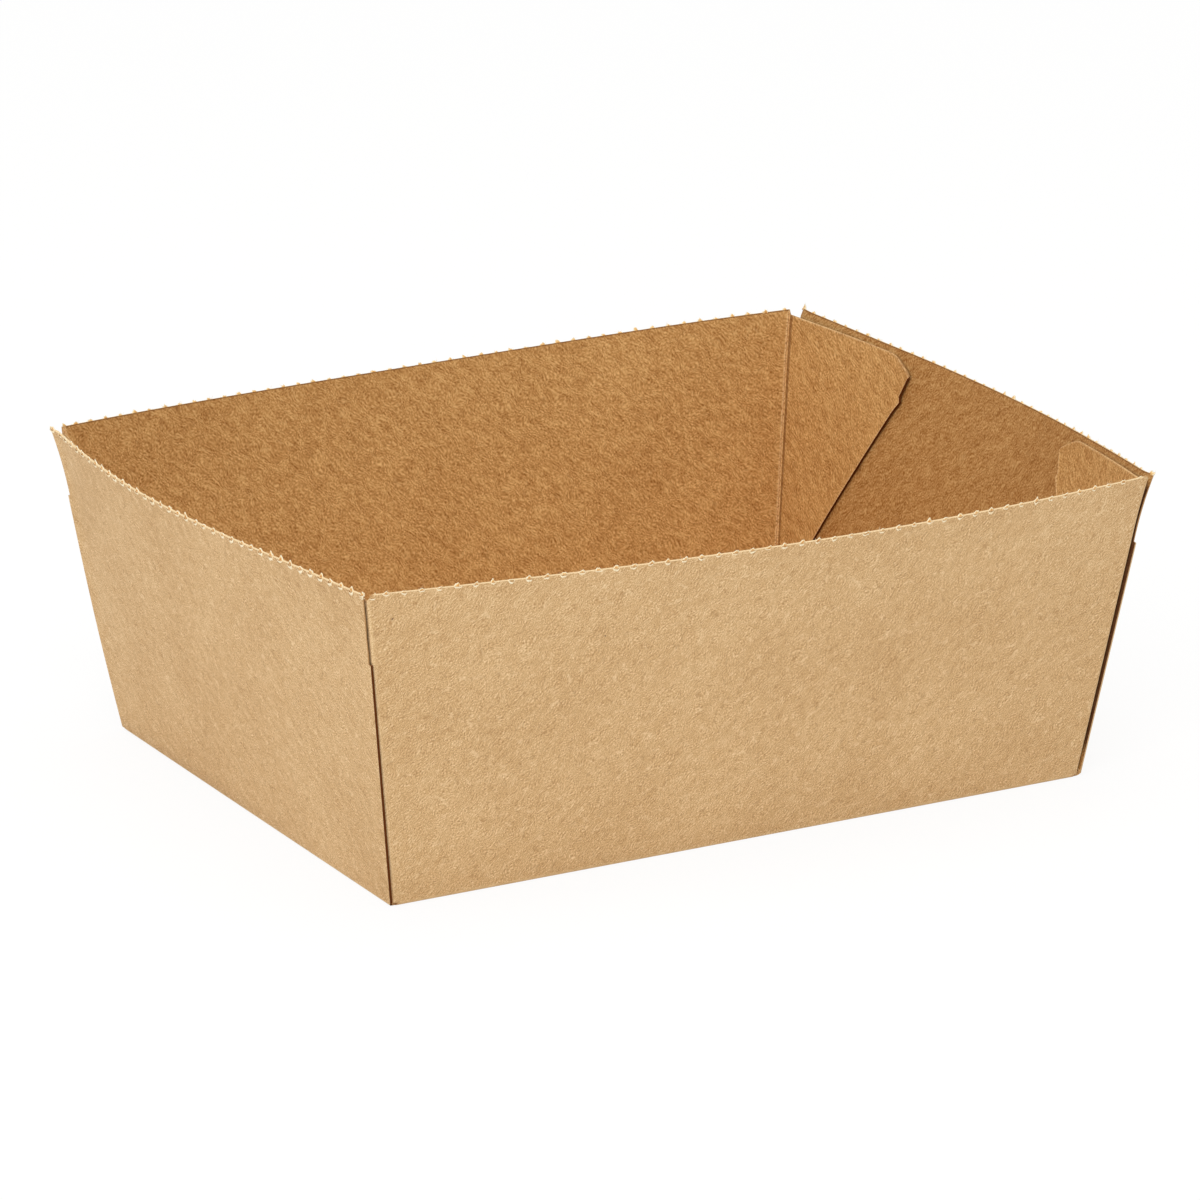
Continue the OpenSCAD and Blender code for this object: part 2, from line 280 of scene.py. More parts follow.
def wall_column(wall, u, ends=None):
    def at(v):
        h = wall.share_up(u, v)
        t = h*wall.slope if v >= 1 else wall.tangent(u)*v
        flat = (u*wall.half_at(h), -wall.distance - t)
        fold = abs(t - wall.tangent(u)/2)
        if not wall.is_end:
            to_corner = wall.half_at(h)*(1 - abs(u))
            side = -1 if u < 0 else 1
            fade = max(0, 1 - max(0, to_corner - DRAWN_REACH)/DRAWN_FADE)
            drawn = follow(wall, ends[u > 0], side, max(0, h), 0)*fade
            flat = (flat[0] + drawn.x, flat[1])
            return wall.point(u, v) + drawn, flat, card_facts(wall.below_rim(u, v), min(fold, to_corner))
        torn_off = v > 2 - STEP_DROP/wall.slope + 1e-6
        reach = 1 - STEP_DEPTH/wall.half_rim if torn_off else 1
        # Painted shade on the end wall's cut side edges: tan to dark brown, by side and above the step
        cut_shade = wall.cut_shades[0 if u < 0 else 1]
        side = wall.half_at(h)*(1 - abs(u))
        # Where a flap covers the end wall's inner face, that face is painted dark as shade
        low, high = flap_low(wall, side) + HIDDEN_INSET, flap_high(wall, side) - HIDDEN_INSET_TOP
        behind = low < t < high and side < FLAP_WIDTH - HIDDEN_INSET
        facts = card_facts(wall.below_rim(u, v), fold, hidden_inside=float(behind), deeper=END_WALL_DEEPER,
                           dark_cut=(TORN_CUT_SHADE if torn_off else cut_shade)*(abs(u) >= reach))
        if torn_off or cut_shade < 1:
            from_edge = side - (STEP_DEPTH if torn_off else 0)
            facts["thick"] -= EDGE_PRESSED*max(0, 1 - from_edge/PRESSED_REACH)
        return wall.point(max(-reach, min(reach, u)), v), flat, facts
    return at


def follow(wall, end, side, h, s):
    """How far a corner fold and its flap go out with the loose edge of the end wall over them."""
    share = end.follows[0 if side > 0 else 1]
    return Vector((side*share*end.loose(-side*(1 - s/end.half_at(h)), h), 0, 0))


def beside_fold_column(wall, end, side, k, back_along, to_rim):
    """A column of a long wall next to its corner fold, or of the fold itself. The torn end of the
    rim goes down over the fold to the flap's top edge: in a slope at the front left, and steeply
    at the other corners."""
    def at(v):
        bottom = wall.share_up(side, 1)
        flap_top = flap_high(end, 0)/end.slope
        left_up = 0.75 - k if wall is front and side < 0 else min(1, 3*(0.7 - k))
        top = 1 if to_rim else flap_top + (1 - flap_top)*max(0, left_up)
        h = bottom + (top - bottom)*(v - 1)
        t = h*wall.slope
        drawn = follow(wall, end, side, max(0, h), 0)
        flat = (side*(wall.half_at(h) - back_along + FOLD_RADIUS*(2*k - 1)) + drawn.x, -wall.distance - t)
        if v >= 1:
            place = corner_fold(wall, end, side, k, h, back_along) + drawn
        else:
            foot = corner_fold(wall, end, side, k, bottom, back_along)
            u = foot.x/wall.half_base
            place = wall.point(u, v) + (foot - wall.point(u, 1))*v
            flat = (flat[0], -wall.distance - wall.tangent(u)*v)
            t = wall.tangent(u)*v
        crease = (0.5 - k)*2*FOLD_RADIUS + back_along
        # The fold's outer face where the end wall covers it is painted dark as shade, less above the step
        covered_shade = 1.0 if t < end.slope - STEP_DROP else SHOWN_SHADE
        facts = card_facts(wall.slope - t, crease, dark_cut=0.4, hidden_outside=covered_shade*(k > 0.7))
        return place, flat, facts
    return at


def flap_column(wall, end, side, s):
    """A column of a flap, from its slanting lower edge to its top edge, in the long wall's frame.
    Its outer corner and slanting edge stand a little off the end wall."""
    def at(v):
        low, high = flap_low(end, s), flap_high(end, s)
        t = low + (high - low)*(v - 1)
        h = t/end.slope
        u = -side*(1 - s/end.half_at(h))
        near_corner = max(0, 1 - (FLAP_WIDTH - s)/(3*FLAP_LIFT_REACH))
        near_edge = max(0, 1 - (t - low)/FLAP_LIFT_REACH, 1 - (FLAP_WIDTH - s)/FLAP_LIFT_REACH,
                        near_corner*(1 - (high - t)/FLAP_LIFT_REACH))
        lift = (FLAP_EDGE_LIFT + FLAP_CORNER_LIFT*near_corner)*near_edge**2*min(1, s/8)
        if v == 1 and s == nick_start:
            u += side*NICK_TOOTH/end.half_at(h)
        place = quarter_turn(side, end.upright(u, h, lift)) + follow(wall, end, side, h, s)
        flat = (side*(wall.half_at(h) + s) + follow(wall, end, side, h, 0).x, -wall.distance - t)
        # Painted shade on the flap's cut edges: dark brown on its slanting lower edge and end, tan on its top
        cut = 1.0 if v == 1 or s == FLAP_WIDTH else 0.5
        to_edge = min((t - low)*SLANT, high - t, FLAP_WIDTH - s)
        # The flap's outer face, which lies against the end wall, is painted dark as shade, less above the
        # step near the fold
        covered_shade = 1.0 if t < end.slope - STEP_DROP or s > SHOWN_REACH else SHOWN_SHADE
        facts = card_facts(end.slope - t, -s, dark_cut=cut, hidden_outside=covered_shade, to_edge=to_edge)
        if v == 2 or s == FLAP_WIDTH:
            facts["thick"] -= EDGE_PRESSED
        return place, flat, facts
    return at


BEAD_COLUMNS = [2*place/RIM_LENGTH for place in (1.55, 1.8, 2.1, 2.45)]
WALL_COLUMNS = ([place - 1 for place in BEAD_COLUMNS] + steps(-1, 1, 60)[2:-2]
                + [1 - place for place in BEAD_COLUMNS[::-1]])
flap_cut = FLAP_WIDTH - FLAP_CUT_WIDTH
FLAP_COLUMNS = ([1.3, 2] + steps(3.5, flap_cut - 1.7, 13) + steps(flap_cut - 1.1, flap_cut + 1.7, 5)
                + [nick_start, nick_start + NICK_RUN]
                + [FLAP_WIDTH - edge for edge in (1.6, 1.1, 0.7, 0.4, 0.15, 0)])
CORNER_STEPS = steps(0, 1, 8)


def long_wall(sheet, wall, left_end, right_end):
    """A long wall with its base fold, its two corner folds and its two flaps."""
    rows = rows_up(wall)

    def fold_side(end, side):
        return [beside_fold_column(wall, end, side, 0, RIM_END - FOLD_RADIUS, True),
                beside_fold_column(wall, end, side, 0, 0.2, False),
                beside_fold_column(wall, end, side, 0, 0, False)]

    middle = [wall_column(wall, u, (left_end, right_end)) for u in WALL_COLUMNS]
    columns = fold_side(left_end, -1)[::-1] + middle + fold_side(right_end, 1)
    sheet.panel(wall.to_place, columns, FOLD_ROWS[:-1] + rows)
    for end, side in ((left_end, -1), (right_end, 1)):
        outward = [beside_fold_column(wall, end, side, k, 0, False) for k in CORNER_STEPS]
        outward += [flap_column(wall, end, side, s) for s in FLAP_COLUMNS]
        sheet.panel(wall.to_place, outward if side > 0 else outward[::-1], rows)
    return [column(0)[0].x for column in columns]


def end_columns():
    margin = [LOOSE_MARGIN*share/END_SIDE[1] for share in (0, 0.06, 0.14, 0.3, 0.5, 0.75, 1)]
    middle = steps(margin[-1] - 1, 1 - margin[-1], 44)[1:-1]
    return [m - 1 for m in margin] + middle + [1 - m for m in margin[::-1]]


def end_wall(sheet, wall):
    """An end wall with its base fold. Its side edges step back near the rim."""
    step = 2 - STEP_DROP/wall.slope
    near = [2 - drop/wall.slope for drop in NEAR_RIM]
    rows = (FOLD_ROWS[:-1] + steps(1, step, 14) + steps(step + STEP_RUN/wall.slope, near[0], 6)[:-1] + near)
    sheet.panel(wall.to_place, [wall_column(wall, u) for u in end_columns()], rows)


def base(sheet, across):
    """The base reaches to where the four folds begin."""
    def fold_line(wall, x):
        """The distance of a wall's fold from the middle, at the place x along the base."""
        out = STAND_OFF if wall.is_end else 0
        u = max(-1, min(1, x/wall.half_base))
        return wall.distance + out - wall.tangent(u)

    half_width = BASE_WIDTH/2 - FOLD_RADIUS
    rows = [None] + [u*half_width for u in end_columns()] + [None]

    def column(i):
        def at(j):
            y = rows[j]
            x = across[i - 1] if 0 < i <= len(across) else None
            if x is None:
                near = 0 if y is None else y
                x = -fold_line(left, -near) if i == 0 else fold_line(right, near)
            if y is None:
                y = -fold_line(front, x) if j == 0 else fold_line(back, -x)
            fold = min(BASE_LENGTH/2 - abs(x), BASE_WIDTH/2 - abs(y))
            return Vector((x, y, 0)), (x, y), card_facts(RIM_HEIGHT, fold, dark_cut=0.4)
        return at

    sheet.panel(Matrix.Identity(3), [column(i) for i in range(len(across) + 2)], list(range(len(rows))))


def kraft_sheet(finishes):
    """The whole tray, folded from one sheet of card."""
    sheet = Sheet()
    across = long_wall(sheet, front, left, right)
    long_wall(sheet, back, right, left)
    for wall in (left, right):
        end_wall(sheet, wall)
    base(sheet, across)
    bm = sheet.bm
    bmesh.ops.remove_doubles(bm, verts=bm.verts, dist=0.02)
    bmesh.ops.recalc_face_normals(bm, faces=bm.faces)
    bottom = min(bm.faces, key=lambda f: f.calc_center_median().length)
    if bottom.normal.z > 0:
        bmesh.ops.reverse_faces(bm, faces=bm.faces)
    piece = finished_piece("kraft_tray", bm, finishes)
    layer = piece.vertex_groups.new(name="thick")
    for index, fact in enumerate(piece.data.attributes["thick"].data):
        layer.add([index], fact.value, "REPLACE")
    thickness = piece.modifiers.new("card", "SOLIDIFY")
    thickness.thickness = METRES
    thickness.offset = -1
    thickness.vertex_group = "thick"
    thickness.material_offset = 1
    thickness.material_offset_rim = 2
    apply_modifiers(piece)
    piece.data.set_sharp_from_angle(angle=radians(50))
    return piece


def finished_piece(name, bm, finishes):
    """The mesh in metres, with smooth faces, as an object with its finishes."""
    bmesh.ops.scale(bm, vec=(METRES, METRES, METRES), verts=bm.verts)
    for face in bm.faces:
        face.smooth = True
    mesh = bpy.data.meshes.new(name)
    bm.to_mesh(mesh)
    bm.free()
    piece = bpy.data.objects.new(name, mesh)
    bpy.context.scene.collection.objects.link(piece)
    for finish in finishes:
        mesh.materials.append(finish)
    return piece


def apply_modifiers(piece):
    shaped = piece.evaluated_get(bpy.context.evaluated_depsgraph_get())
    mesh = bpy.data.meshes.new_from_object(shaped)
    piece.modifiers.clear()
    piece.data = mesh


# The torn ties of the perforation, with the fibres that stand out of them
TIE_SEED = 11


def tie_places(wall):
    """The middle of each tie, as a distance along the rim from the wall's middle. A long wall's
    perforation starts at its end on the left of the photograph."""
    if wall.is_end:
        last = wall.half_rim - STEP_DEPTH - TIE_WIDTH/2
        return steps(-last, last, END_TIES)
    near_end = wall.half_rim - RIM_END - TIE_WIDTH
    chain = [TIE_PITCH*i - wall.half_rim for i in range(1, round(2*near_end/TIE_PITCH) + 1)]
    return [place if wall is front else -place for place in chain]


def on_card(wall, along, above, depth):
    """A point near the rim, by its distance along it and above it and its depth in the card."""
    return wall.to_place @ wall.point(along/wall.half_rim, 2 + above/wall.slope, depth)


def small_shape(bm, columns, rows, thickness, shape):
    """A small curved plate. shape turns its place across and up, and its side, into a point and
    says how pale it is."""
    made = bmesh.new()
    grid = bmesh.ops.create_grid(made, x_segments=columns, y_segments=rows, size=1)
    bmesh.ops.solidify(made, geom=grid["verts"] + made.edges[:] + made.faces[:], thickness=thickness)
    layer = made.verts.layers.float.new("pale")
    for vertex in made.verts:
        inner = 1 if vertex.co.z > thickness/2 or vertex.co.z < -thickness/2 else 0
        vertex.co, vertex[layer] = shape(vertex.co.x, (vertex.co.y + 1)/2, inner)
    mesh = bpy.data.meshes.new("shape")
    made.to_mesh(mesh)
    made.free()
    bm.from_mesh(mesh)
    bpy.data.meshes.remove(mesh)


def stub(bm, wall, place, width, height, lean, chance, drop=0):
    """What is left of a tie: a torn tab with a brown core and a pale outline."""
    tips = [chance.uniform(0.35, 1.0) for _ in range(5)]
    lean_out = chance.uniform(-0.1, 0.25)

    def shape(a, b, inner):
        tip = tips[round((a + 1)*2)]
        along = place + a*width/2*(1 - 0.35*b) + lean*b + 0.15*b*(tip - 0.5)
        above = -0.25 - drop + (0.25 + height*tip*(1 - 0.45*a*a))*b
        near, far = 0.08 + 0.12*b - lean_out*b, 0.48 - 0.14*b - lean_out*b
        outline = max(abs(a), b)**2
        outline = 0.25 + 0.55*outline if inner else outline
        return on_card(wall, along, above, far if inner else near), outline

    small_shape(bm, 4, 3, 0.2, shape)


def lip(bm, wall, place, width, deep, chance, drop=0):
    """The outer ply tore out below a tie and left a pale lip round the place."""
    stand = chance.uniform(0.12, 0.28)
    tilt = chance.uniform(-0.35, 0.35)
    ragged = [chance.uniform(0.75, 1.2) for _ in range(7)]

    def shape(a, b, inner):
        round_part = sqrt(max(0, 1 - a*a))*ragged[round((a + 1)*3)]
        above = -deep*round_part*(1 - 0.6*b) + 0.08*b + tilt*a*0.2 - drop
        depth = 0.03 - (stand*b*round_part + 0.06) + (0.05 if inner else 0)
        return on_card(wall, place + a*width/2, above, depth), 1.0 - 0.15*b

    small_shape(bm, 6, 2, 0.2, shape)


def corner_nib(bm, wall, side, height, lean, drop, chance):
    """The torn nib at the end of a rim, where the perforation met the corner."""
    inset = STEP_DEPTH + 0.45 if wall.is_end else RIM_END - 0.35
    place = side*(wall.half_rim - inset)
    stub(bm, wall, place, 0.95, height, side*lean, chance, drop)
    lip(bm, wall, place, 1.2, 0.45, chance, drop)


# The height of the nib at each end of each rim, its outward lean and how far down it starts
CORNER_NIBS = (
    (front, -1, 1.0, -0.7, 0.6), (front, 1, 0.5, 0.15, 0),
    (back, 1, 1.1, 0.3, 0), (back, -1, 0.7, -0.1, 0),
    (left, 1, 1.0, -0.6, 0.5), (left, -1, 0.9, 0.35, 0),
    (right, -1, 0.8, 0.5, 0), (right, 1, 1.2, -0.3, 0),
)


def torn_ties(finish):
    bm = bmesh.new()
    bm.verts.layers.float.new("pale")
    chance = random.Random(TIE_SEED)
    for wall in (front, back, left, right):
        ragged = 1.4 if wall is left else 1
        wide, high = (1.15, 0.95) if wall in (back, right) else (ragged, ragged)
        for place in tie_places(wall):
            width = TIE_WIDTH*chance.uniform(0.75, 1.1)*wide
            height = TIE_HEIGHT*chance.uniform(0.55, 1.15)*high
            stub(bm, wall, place, width, height, chance.uniform(-0.1, 0.4), chance)
            beside, deep = chance.uniform(-0.15, 0.15), chance.uniform(0.4, 0.75)*ragged
            lip(bm, wall, place + beside, width*1.3, deep, chance)
    for wall, side, height, lean, drop in CORNER_NIBS:
        corner_nib(bm, wall, side, height, lean, drop, chance)
    bmesh.ops.recalc_face_normals(bm, faces=bm.faces)
    return finished_piece("torn_ties", bm, [finish])


def rim_fibres(finish):
    """Stray paper fibres at the ties, each a thin curved ribbon."""
    bm = bmesh.new()
    chance = random.Random(TIE_SEED + 1)
    for wall in (front, back, left, right):
        for place in tie_places(wall):
            for _ in range(chance.randint(2, 6)*(2 if wall is left else 1)):
                fibre(bm, wall, place, chance)
    return finished_piece("rim_fibres", bm, [finish])


def fibre(bm, wall, place, chance):
    start = (place + chance.uniform(-0.6, 0.6), chance.uniform(-0.5, 0.2), chance.uniform(-0.1, 0.35))
    length = chance.uniform(0.35, 1.3)
    heading = chance.uniform(-1.0, 1.5)
    bend = chance.uniform(-1.1, 1.1)
    outward = chance.uniform(-0.5, 0.25)
    width = chance.uniform(0.05, 0.1)
    along, above, depth = start
    edges = []
    for i in range(4):
        share = i/3
        half = width/2*(1 - 0.7*share)
        edges.append([bm.verts.new(on_card(wall, along + s*half, above, depth)) for s in (-1, 1)])
        direction = heading + bend*share
        along += sin(direction)*length/3
        above += cos(direction)*length/3*0.7
        depth += outward*length/3
    for (a, b), (c, d) in zip(edges, edges[1:]):
        bm.faces.new((a, b, d, c))


def srgb(r, g, b):
    """A colour as it looks on a screen, out of 255, as a linear one."""
    def linear(c):
        c /= 255
        return c/12.92 if c <= 0.04045 else ((c + 0.055)/1.055)**2.4
    return (linear(r), linear(g), linear(b), 1)


class Value:
    """A number in a finish that varies over the surface. Arithmetic on it adds Math nodes."""

    def __init__(self, finish, socket):
        self.finish, self.socket = finish, socket

    def math(self, operation, first, second):
        return self.finish.node("ShaderNodeMath", {"operation": operation}, {0: first, 1: second})

    def __add__(self, other):
        return self.math("ADD", self, other)

    def __sub__(self, other):
        return self.math("SUBTRACT", self, other)

    def __rsub__(self, other):
        return self.math("SUBTRACT", other, self)

    def __mul__(self, other):
        return self.math("MULTIPLY", self, other)

    def size(self):
        return self.finish.node("ShaderNodeMath", {"operation": "ABSOLUTE"}, {0: self})

    __radd__ = __add__
    __rmul__ = __mul__


class Finish:
    """A material, and the ways to add to its nodes."""

    def __init__(self, name):
        self.material = bpy.data.materials.new(name)
        self.material.use_nodes = True
        self.tree = self.material.node_tree
        self.surface = self.tree.nodes["Principled BSDF"]

    def node(self, kind, settings=None, sockets=None, output=0):
        made = self.tree.nodes.new(kind)
        for name, value in (settings or {}).items():
            setattr(made, name, value)
        for key, value in (sockets or {}).items():
            self.feed(made.inputs[key], value)
        return Value(self, made.outputs[output])

    def feed(self, socket, value):
        if isinstance(value, Value):
            self.tree.links.new(value.socket, socket)
        else:
            socket.default_value = value

    def shade(self, **sockets):
        """Sets sockets of the shader, whose names have an underscore for each space."""
        for name, value in sockets.items():
            self.feed(self.surface.inputs[name.replace("_", " ")], value)

    def attribute(self, name, vector=False):
        return self.node("ShaderNodeAttribute", {"attribute_name": name}, output=1 if vector else 2)

    def turned(self, vector, angle, size, shift=(0, 0, 0)):
        """The place in a pattern that lies at an angle and has a cell of this size."""
        sockets = {"Vector": vector, "Rotation": (0, 0, angle), "Scale": size, "Location": shift}
        return self.node("ShaderNodeMapping", {"vector_type": "TEXTURE"}, sockets)

    def swirled(self, vector, size, amount):
        """The place, moved about by a slow noise so that no pattern on it runs straight."""
        slow = self.node("ShaderNodeTexNoise", {}, {"Vector": vector, "Scale": 1/size, "Detail": 0}, output=1)
        sockets = {0: slow, 1: (amount, amount, 0), 2: vector}
        return self.node("ShaderNodeVectorMath", {"operation": "MULTIPLY_ADD"}, sockets)

    def noise(self, vector, scale, detail=2, roughness=0.5):
        sockets = {"Vector": vector, "Scale": scale, "Detail": detail, "Roughness": roughness}
        return self.node("ShaderNodeTexNoise", {}, sockets)

    def ramp(self, value, low, high, shape="LINEAR"):
        """0 below low and 1 above high."""
        sockets = {"Value": value, "From Min": low, "From Max": high}
        return self.node("ShaderNodeMapRange", {"interpolation_type": shape}, sockets)

    def smooth(self, value, low, high):
        return self.ramp(value, low, high, "SMOOTHSTEP")

    def mix(self, factor, first, second):
        settings = {"data_type": "RGBA", "clamp_factor": True}
        return self.node("ShaderNodeMix", settings, {0: factor, 6: first, 7: second}, output=2)

    def bump(self, height, strength, distance):
        sockets = {"Height": height, "Strength": strength, "Distance": distance*METRES}
        return self.node("ShaderNodeBump", {}, sockets)


# A speck's width, and how far apart specks lie
SPECK_SIZE, SPECK_SPACING = 0.28, 17
# The fibres lie mostly one way in the blank, at these angles, each with its weight
GRAIN = ((-45, 1), (-18, 0.75), (-75, 0.8), (25, 0.5), (70, 0.5))
# A fibre's size, and how far its painted shaded side lies from its painted lit side
FIBRE_SIZE, FIBRE_RELIEF = (0.85, 0.27, 1), 0.18


def fibres_of(finish, place, shift, coarse):
    """Short fibres in relief, as a value round 0. Each has a lit side and a shaded side, which a colour made
    from it paints.
    """
    size = (FIBRE_SIZE[0]*coarse, FIBRE_SIZE[1]*coarse, 1)
    total = 0
    for degrees, weight in GRAIN:
        angle = radians(degrees)
        sides = []
        for off in (0, FIBRE_RELIEF*coarse):
            start = (shift - off*sin(angle), degrees + off*cos(angle), 0)
            sides.append(finish.noise(finish.turned(place, angle, size, start), 1, 0))
        total = total + (sides[0] - sides[1])*weight
    return total


def strands(finish, place, angle, shift, width):
    """A few long curved strands, as 0 or 1. They follow the lines where a noise crosses its middle."""
    along = finish.turned(place, radians(angle), (3, 1.1, 1), (shift, 3, 0))
    line = finish.noise(along, 1, 0) - 0.5
    where = finish.noise(finish.turned(place, 0, (1.7, 1.7, 1), (3, shift, 0)), 1, 0)
    return (1 - finish.smooth(line.size(), 0, width))*finish.smooth(where, 0.54, 0.62)


def kraft(name, colours, shift, contrast, coarse, inside):
    """Brown kraft paper with its fibres, blotches and specks. Its lengths are millimetres, and
    coarse is how much larger its fibres are than those outside."""
    pale, plain, deep = colours
    finish = Finish(name)
    place = finish.swirled(finish.attribute("blank", vector=True), 3.5, 1.8)
    fibres = fibres_of(finish, place, shift, coarse)
    grain = 0.3*coarse
    grains = finish.noise(finish.turned(place, 0.6, (grain, grain, 1), (shift, 7, 0)), 1, 1) - 0.5
    blotches = finish.noise(finish.turned(place, -0.8, (3.0, 1.6, 1), (shift, 0, 3)), 1, 3) - 0.5
    clouds = finish.noise(finish.turned(place, 0, (22, 22, 1), (shift, 2, 5)), 1, 1) - 0.5
    fibre_share, blotch_share, more_when_deeper = (0.5, 1, 1) if inside else (0.65, 0.6, 0.4)
    # The fibres' lit and shaded sides are painted into the colour here, besides driving the bump
    tone = fibres*(fibre_share*contrast) + grains*(1.1*contrast)
    tone = tone + blotches*(blotch_share*contrast) + clouds*0.35
    tone = tone*(finish.attribute("deeper")*more_when_deeper + 1)
    colour = finish.mix(finish.ramp(tone, 0, 0.8), plain, pale)
    colour = finish.mix(finish.ramp(tone*(-1), 0, 0.8), colour, deep)
    colour = finish.mix(strands(finish, place, -40, shift, 0.07)*0.4, colour, pale)
    colour = finish.mix(strands(finish, place, -60, shift + 9, 0.06)*0.45, colour, deep)
    nearest = finish.node("ShaderNodeTexVoronoi", {}, {"Vector": place, "Scale": 1/SPECK_SPACING})
    kept = finish.noise(finish.turned(place, 0, (40, 40, 1), (shift, 40, 9)), 1, 0)
    specks = (1 - finish.smooth(nearest, 0.5*SPECK_SIZE/SPECK_SPACING, SPECK_SIZE/SPECK_SPACING))
    colour = finish.mix(specks*finish.smooth(kept, 0.44, 0.46)*0.8, colour, srgb(84, 56, 36))
    colour = finish.mix(finish.attribute("deeper"), colour, deep) if inside else colour
    crease = finish.attribute("crease")
    if inside:
        # Painted shade: a dark brown line along the inner face just below the rim
        rim = 1 - finish.smooth(finish.attribute("below_rim"), 0.08, 0.4)
        colour = finish.mix(rim*0.7, colour, srgb(120, 74, 30))
        # Paler along the bead beside a fold: partly its stretched liner, and partly a painted highlight
        bead = finish.smooth(crease, -0.4, 0)*(1 - finish.smooth(crease, 1.0, 1.4))
        colour = finish.mix(bead*finish.smooth(grains, -0.2, 0.12)*0.9, colour, srgb(246, 208, 152))
        # Painted shade: a dark brown line in the valley where a flap leaves its corner fold
        line = 1 - finish.smooth((crease + 1.1).size(), 0.1, 0.45)
        colour = finish.mix(line*0.6, colour, srgb(104, 58, 16))
        # Paler just inside a flap's edges: partly worn liner, and partly a painted highlight of the lit edge
        edge = 1 - finish.smooth(finish.attribute("to_edge"), 0.12, 0.4)
        colour = finish.mix(edge*finish.smooth(grains, -0.25, 0.1)*0.55, colour, srgb(240, 204, 152))
    else:
        worn = 1 - finish.smooth(crease.size(), 0.2, 0.6)
        colour = finish.mix(worn*finish.smooth(grains, -0.2, 0.1)*0.5, colour, srgb(238, 208, 160))
    # Painted shade: faces that another layer covers are painted dark brown, so that the gaps look dark
    hidden = finish.attribute("hidden_inside" if inside else "hidden_outside")
    colour = finish.mix(hidden*0.9, colour, srgb(80, 40, 14))
    finish.shade(Base_Color=colour, Roughness=0.78, Normal=finish.bump(fibres + grains, 0.2, 0.01))
    finish.surface.inputs["Specular IOR Level"].default_value = 0.3
    return finish.material


def cut_edge():
    """The cut edges of the card show its pale plies. Some are torn. On the flaps' lower edges and beside the
    gaps they are painted tan to dark brown as shade.
    """
    finish = Finish("cut_edge")
    place = finish.attribute("blank", vector=True)
    plies = finish.noise(place, 3, 2)
    colour = finish.mix(plies, srgb(222, 180, 122), srgb(255, 238, 200))
    # Painted shade: the edge turns tan, then dark brown, as dark_cut rises
    dark = finish.attribute("dark_cut")
    colour = finish.mix(finish.ramp(dark, 0, 0.45), colour, srgb(188, 146, 98))
    colour = finish.mix(finish.ramp(dark, 0.45, 1), colour, srgb(92, 48, 18))
    finish.shade(Base_Color=colour, Roughness=0.9)
    finish.surface.inputs["Specular IOR Level"].default_value = 0.05
    return finish.material


def torn_card():
    """Torn plies: an orange-brown core with pale fibres where the paper parted."""
    finish = Finish("torn_card")
    place = finish.node("ShaderNodeTexCoord", {}, {}, output=3)
    patches = finish.noise(place, 1/METRES*2.2, 2)
    pale = finish.attribute("pale") + (patches - 0.5)*0.9
    colour = finish.mix(finish.ramp(pale, 0.1, 0.5), srgb(204, 126, 40), srgb(238, 198, 132))
    colour = finish.mix(finish.ramp(pale, 0.5, 1), colour, srgb(255, 244, 214))
    finish.shade(Base_Color=colour, Roughness=0.95)
    return finish.material


def pale_fibre():
    finish = Finish("pale_fibre")
    place = finish.node("ShaderNodeTexCoord", {}, {}, output=3)
    colour = finish.mix(finish.noise(place, 1/METRES*0.4, 1), srgb(222, 184, 130), srgb(252, 244, 224))
    finish.shade(Base_Color=colour, Roughness=0.9)
    return finish.material


# The camera stands where the photograph was taken from
CAMERA_TURN, CAMERA_RISE, CAMERA_ROLL = radians(-28.276), radians(17.421), radians(-0.441)
CAMERA_DISTANCE, CAMERA_AIM = 1328.776, (0.769, 31.054)
IMAGE_PIXELS, FOCAL_PIXELS, SENSOR = 1200, 6540.253, 36


def add_camera():
    level = cos(CAMERA_RISE)
    back_way = Vector((sin(CAMERA_TURN)*level, -cos(CAMERA_TURN)*level, sin(CAMERA_RISE)))
    right_way = back_way.cross(Vector((0, 0, -1))).normalized()
    up_way = back_way.cross(right_way)
    roll = Matrix.Rotation(CAMERA_ROLL, 3, back_way)
    right_way, up_way = roll @ right_way, roll @ up_way
    place = right_way*CAMERA_AIM[0] + up_way*CAMERA_AIM[1] + back_way*CAMERA_DISTANCE
    data = bpy.data.cameras.new("camera")
    data.sensor_width = SENSOR
    data.lens = FOCAL_PIXELS*SENSOR/IMAGE_PIXELS
    camera = bpy.data.objects.new("camera", data)
    axes = Matrix((right_way, up_way, back_way)).transposed()
    camera.matrix_world = Matrix.Translation(place*METRES) @ axes.to_4x4()
    bpy.context.scene.collection.objects.link(camera)
    bpy.context.scene.camera = camera


# The strength of the light from all round, how much of the floor is a plain glow to a ray that
# shows a background, and the strength of that glow
ROOM_LIGHT, FLOOR_SHARE, FLOOR_GLOW = 0.6, 0.87, 1.02


def add_world():
    """A plain white room light, which the camera sees as pure white."""
    world = bpy.data.worlds.new("world")
    bpy.context.scene.world = world
    world.use_nodes = True
    tree = world.node_tree
    room = tree.nodes["Background"]
    room.inputs["Color"].default_value = (1, 0.99, 0.97, 1)
    room.inputs["Strength"].default_value = ROOM_LIGHT
    white = tree.nodes.new("ShaderNodeBackground")
    white.inputs["Color"].default_value = (1, 1, 1, 1)
    mix = tree.nodes.new("ShaderNodeMixShader")
    tree.links.new(seen(tree), mix.inputs["Fac"])
    tree.links.new(room.outputs[0], mix.inputs[1])
    tree.links.new(white.outputs[0], mix.inputs[2])
    tree.links.new(mix.outputs[0], tree.nodes["World Output"].inputs["Surface"])


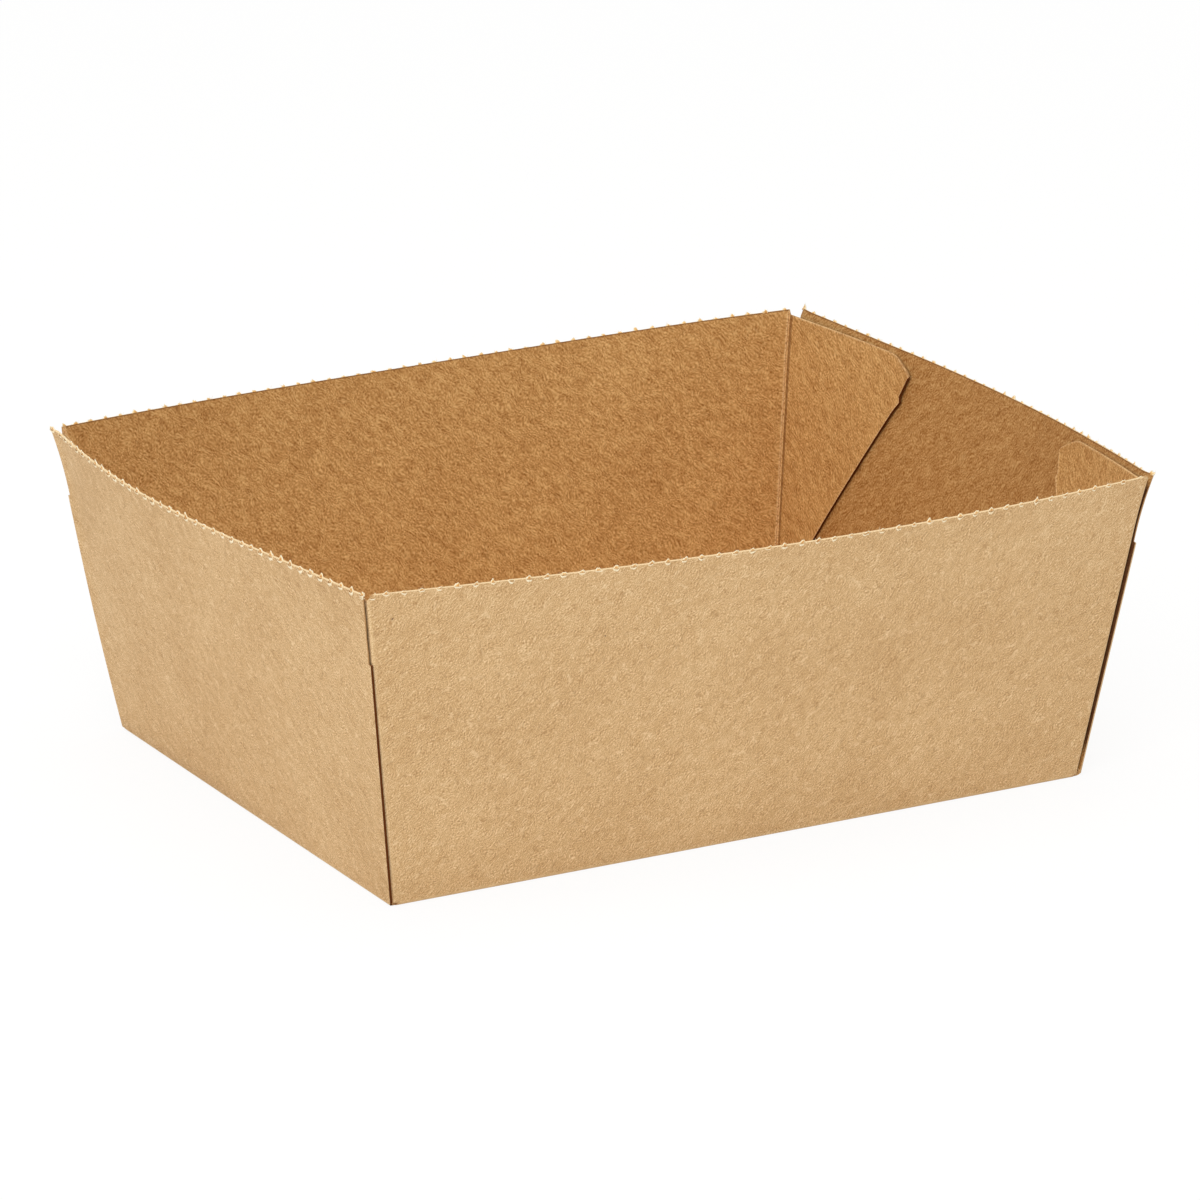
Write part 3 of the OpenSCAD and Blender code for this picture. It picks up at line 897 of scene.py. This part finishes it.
def seen(tree):
    """1 for the rays that show a background: those of the camera, of gloss and of glass."""
    path = tree.nodes.new("ShaderNodeLightPath")
    total = path.outputs["Is Camera Ray"]
    for name in ("Is Glossy Ray", "Is Transmission Ray"):
        larger = tree.nodes.new("ShaderNodeMath")
        larger.operation = "MAXIMUM"
        tree.links.new(total, larger.inputs[0])
        tree.links.new(path.outputs[name], larger.inputs[1])
        total = larger.outputs[0]
    return total


def add_floor():
    bm = bmesh.new()
    bmesh.ops.create_circle(bm, cap_ends=True, segments=96, radius=4)
    mesh = bpy.data.meshes.new("floor")
    bm.to_mesh(mesh)
    bm.free()
    floor = bpy.data.objects.new("floor", mesh)
    bpy.context.scene.collection.objects.link(floor)
    finish = Finish("floor")
    finish.shade(Base_Color=(0.93, 0.93, 0.92, 1), Roughness=1.0)
    tree = finish.tree
    glow = tree.nodes.new("ShaderNodeEmission")
    glow.inputs["Strength"].default_value = FLOOR_GLOW
    mix = tree.nodes.new("ShaderNodeMixShader")
    share = tree.nodes.new("ShaderNodeMath")
    share.operation = "MULTIPLY"
    share.inputs[1].default_value = FLOOR_SHARE
    tree.links.new(seen(tree), share.inputs[0])
    tree.links.new(share.outputs[0], mix.inputs["Fac"])
    tree.links.new(finish.surface.outputs[0], mix.inputs[1])
    tree.links.new(glow.outputs[0], mix.inputs[2])
    tree.links.new(mix.outputs[0], tree.nodes["Material Output"].inputs["Surface"])
    mesh.materials.append(finish.material)


def add_lamp(name, place, size, power):
    data = bpy.data.lights.new(name, "AREA")
    data.shape = "DISK"
    data.size = size
    data.energy = power
    lamp = bpy.data.objects.new(name, data)
    lamp.location = place
    lamp.rotation_euler = (-Vector(place)).to_track_quat("-Z", "Y").to_euler()
    bpy.context.scene.collection.objects.link(lamp)


add_camera()
OUTSIDE_COLOURS = srgb(244, 216, 172), srgb(209, 171, 122), srgb(166, 124, 76)
INSIDE_COLOURS = srgb(236, 194, 130), srgb(198, 149, 88), srgb(148, 96, 40)
outside = kraft("kraft_outside", OUTSIDE_COLOURS, 0, 1.15, 0.95, False)
inside = kraft("kraft_inside", INSIDE_COLOURS, 31, 1.3, 1.5, True)
tray = kraft_sheet([outside, inside, cut_edge()])
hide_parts("tray")
for piece in (tray, torn_ties(torn_card()), rim_fibres(pale_fibre())):
    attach(piece, "root")

add_floor()
add_world()
add_lamp("key", (-0.9, -1.3, 1.5), 1.6, 18)
add_lamp("left", (-1.9, 0.3, 0.9), 1.2, 4.5)
add_lamp("top", (0.1, 0.1, 1.7), 1.0, 5)
bpy.context.scene.view_settings.view_transform = "Standard"
